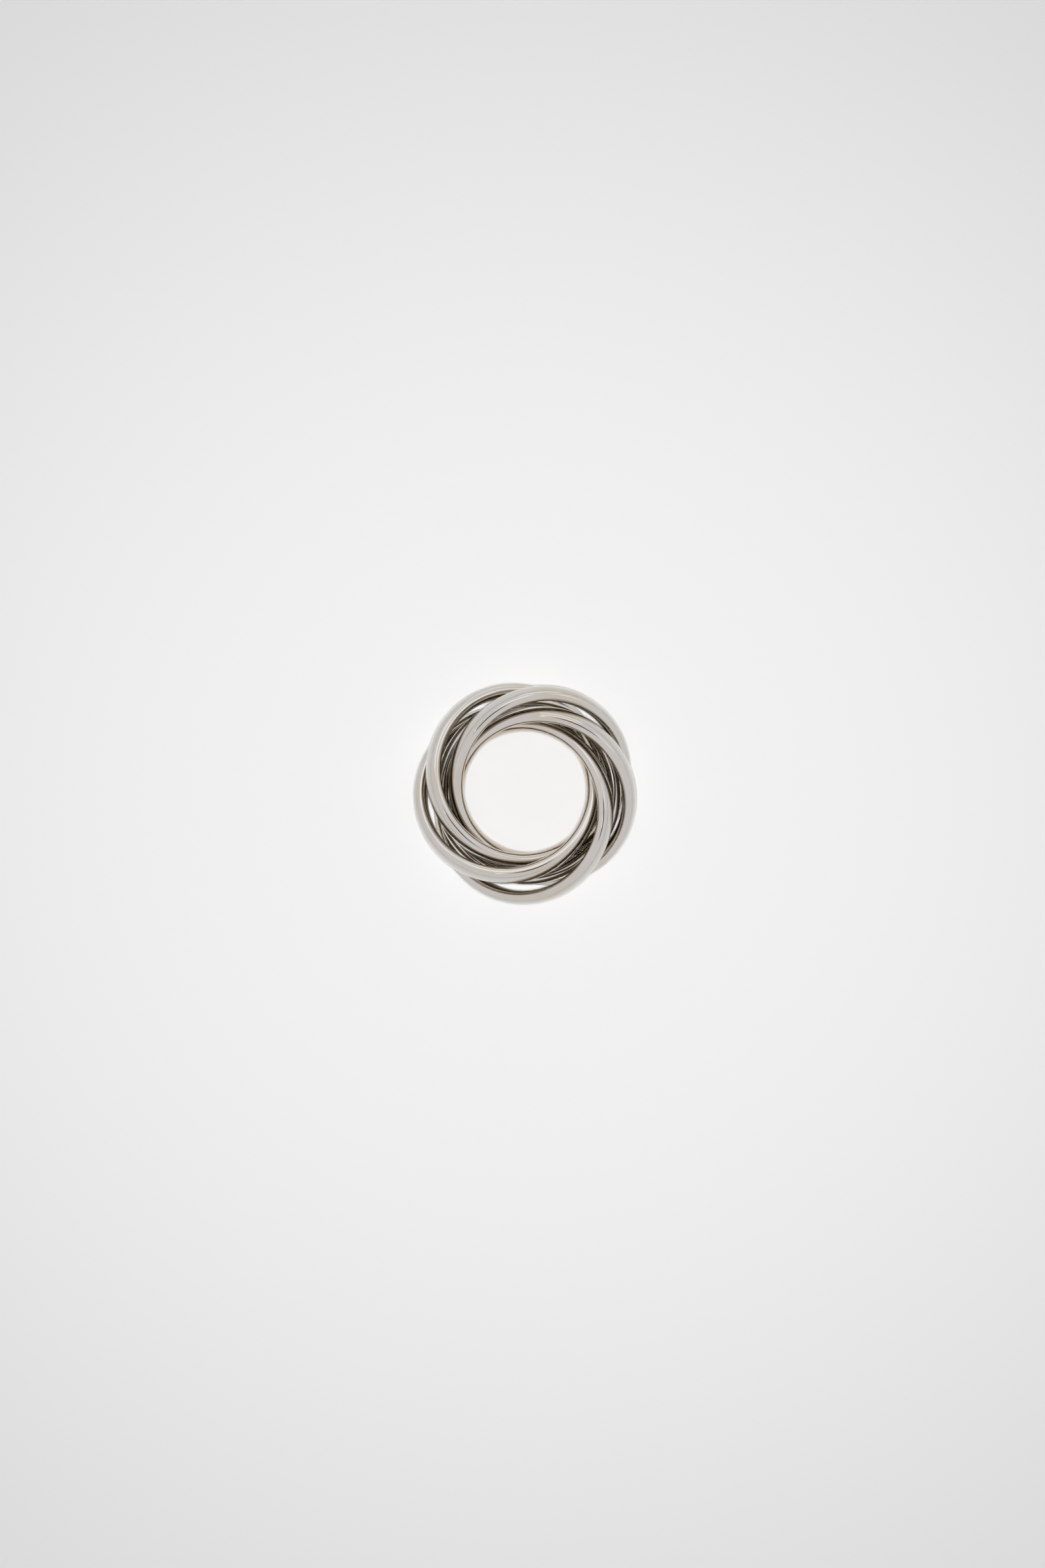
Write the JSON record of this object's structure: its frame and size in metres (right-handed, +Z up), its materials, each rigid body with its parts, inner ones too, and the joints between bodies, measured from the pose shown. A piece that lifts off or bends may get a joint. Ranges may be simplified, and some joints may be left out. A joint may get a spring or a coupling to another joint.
{
  "type": "interlocked rolling finger ring",
  "caption": "Rolling finger ring: identical polished bands of rounded oval section, each linked through all the others and free to turn, lying as a low rosette of five around a flat sixth.",
  "frame": {"origin": "under the middle of the ring, on the surface it lies on", "axes": "+Z up, out of the finger hole, along the ring's least extent; +X and +Y lie in the surface, +Y to the top of the pictured view"},
  "size_m": [0.033, 0.0329, 0.0133],
  "materials": {
    "polished_silver": "polished"
  },
  "bodies": {
    "band_a": {"band_a": "polished_silver"},
    "band_b": {"band_b": "polished_silver"},
    "band_c": {"band_c": "polished_silver"},
    "band_d": {"band_d": "polished_silver"},
    "band_e": {"band_e": "polished_silver"},
    "band_f": {"band_f": "polished_silver"}
  },
  "joints": [
    {"name": "band_b_turn", "type": "hinge", "parent": "band_a", "child": "band_b", "pos_m": [-0.00126, 0.00278, 0.00605], "axis": [0.2634, 0.1914, 0.9455], "continuous": true},
    {"name": "band_c_turn", "type": "hinge", "parent": "band_a", "child": "band_c", "pos_m": [-0.0028, 0.0001, 0.00636], "axis": [-0.0758, 0.3419, 0.9367], "continuous": true},
    {"name": "band_d_turn", "type": "hinge", "parent": "band_a", "child": "band_d", "pos_m": [-0.00035, -0.00248, 0.00625], "axis": [-0.3407, 0.0298, 0.9397], "continuous": true},
    {"name": "band_e_turn", "type": "hinge", "parent": "band_a", "child": "band_e", "pos_m": [0.00253, -0.00031, 0.00646], "axis": [-0.1137, -0.3398, 0.9336], "continuous": true},
    {"name": "band_f_turn", "type": "hinge", "parent": "band_a", "child": "band_f", "pos_m": [0.00032, 0.00041, 0.00629], "axis": [-0.0062, 0.0125, 0.9999], "continuous": true}
  ]
}
